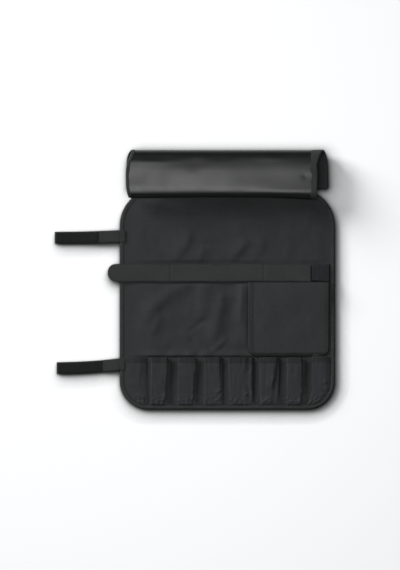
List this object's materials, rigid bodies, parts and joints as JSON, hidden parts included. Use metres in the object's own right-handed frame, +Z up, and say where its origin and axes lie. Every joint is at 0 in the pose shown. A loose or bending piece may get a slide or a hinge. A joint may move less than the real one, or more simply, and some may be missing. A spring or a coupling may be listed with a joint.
{
  "type": "brush roll case",
  "caption": "Roll-up brush case laid open: bound panel with a row of slots, a holding strap, a pocket with a flap, closing straps at one edge and a folded cover flap.",
  "frame": {"origin": "on the surface that the case lies on, under the middle of its box as stored", "axes": "+X from the closing straps to the panel's right edge, +Y to the cover flap, +Z up"},
  "size_m": [0.6054, 0.5602, 0.0396],
  "materials": {
    "cover": "coated cloth, semi-gloss",
    "lining": "plain woven, matt",
    "binding": "folded tape, matt",
    "webbing": "woven, matt",
    "strap": "woven, matt",
    "hook": "hook pile",
    "loop": "loop pile"
  },
  "bodies": {
    "panel": {"outer_cover": "cover", "inner_lining": "lining", "panel_binding": "binding", "slot_1": "lining", "slot_2": "lining", "slot_3": "lining", "slot_4": "lining", "slot_5": "lining", "slot_6": "lining", "slot_7": "lining", "slot_8": "lining", "slot_1_hem": "lining", "slot_2_hem": "lining", "slot_3_hem": "lining", "slot_4_hem": "lining", "slot_5_hem": "lining", "slot_6_hem": "lining", "slot_7_hem": "lining", "slot_8_hem": "lining", "strap_loop_strip": "loop", "strap_anchor": "webbing", "accessory_pocket": "lining", "pocket_flap_root": "lining", "upper_closer_tack": "webbing", "lower_closer_tack": "webbing", "upper_closer_loop_strip": "loop", "lower_closer_loop_strip": "loop"},
    "flap_base": {"flap_base_cover": "cover", "flap_base_lining": "lining", "flap_base_binding_left": "binding", "flap_base_binding_right": "binding"},
    "flap_top": {"flap_top_cover": "cover", "flap_top_lining": "lining", "flap_top_binding_left": "binding", "flap_top_binding_right": "binding", "flap_top_binding_front": "binding"},
    "holding_strap": {"holding_strap": "strap", "strap_hook_tape": "hook"},
    "pocket_flap": {"pocket_flap": "lining", "pocket_flap_binding": "binding"},
    "upper_closer": {"upper_closer_strap": "webbing", "upper_closer_hook_tape": "hook"},
    "lower_closer": {"lower_closer_strap": "webbing", "lower_closer_hook_tape": "hook"}
  },
  "joints": [
    {"name": "flap_root", "type": "hinge", "parent": "panel", "child": "flap_base", "pos_m": [0.07015, 0.19705, 0.00365], "axis": [1, 0, 0], "range_deg": [0, 148]},
    {"name": "flap_fold", "type": "hinge", "parent": "flap_base", "child": "flap_top", "pos_m": [0.07015, 0.2622, 0.0217], "axis": [1, 0, 0], "range_deg": [-149, 0]},
    {"name": "holding_strap_peel", "type": "hinge", "parent": "panel", "child": "holding_strap", "pos_m": [0.2507, 0.0148, 0.0067], "axis": [0, 1, 0], "range_deg": [0, 165]},
    {"name": "pocket_flap_lift", "type": "hinge", "parent": "panel", "child": "pocket_flap", "pos_m": [0.11535, -0.00615, 0.01], "axis": [-1, 0, 0], "range_deg": [0, 90]},
    {"name": "upper_closer_wrap", "type": "hinge", "parent": "panel", "child": "upper_closer", "pos_m": [-0.1625, 0.0942, 0.00515], "axis": [0, 1, 0], "range_deg": [0, 175]},
    {"name": "lower_closer_wrap", "type": "hinge", "parent": "panel", "child": "lower_closer", "pos_m": [-0.1625, -0.1831, 0.00515], "axis": [0, 1, 0], "range_deg": [0, 150]}
  ],
  "couplings": [
    {"joint": "flap_fold", "follows": "flap_root", "ratio": -1}
  ]
}
